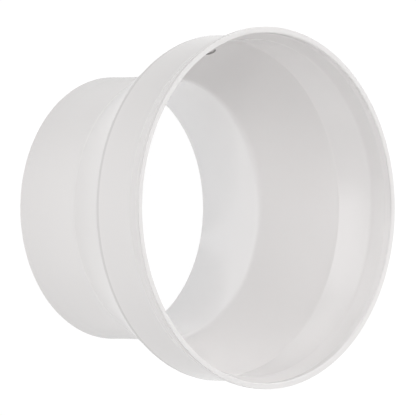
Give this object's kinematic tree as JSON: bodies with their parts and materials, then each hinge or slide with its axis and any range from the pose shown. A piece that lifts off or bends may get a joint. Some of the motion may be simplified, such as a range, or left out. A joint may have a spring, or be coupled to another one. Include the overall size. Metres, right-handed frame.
{
  "type": "duct reducer",
  "caption": "Round moulded duct reducer with a flared socket for a wide duct, a conical body and a slightly tapered spigot for a narrow duct.",
  "frame": {"origin": "centre of the narrow end's face, where the part stands", "axes": "+Z along the axis, from the narrow spigot towards the wide mouth; +X away from the gate mark inside the cone"},
  "size_m": [0.1722, 0.1722, 0.1035],
  "materials": {
    "white_plastic": "satin white moulded plastic"
  },
  "bodies": {
    "root": {"reducer": "white_plastic"}
  },
  "joints": []
}
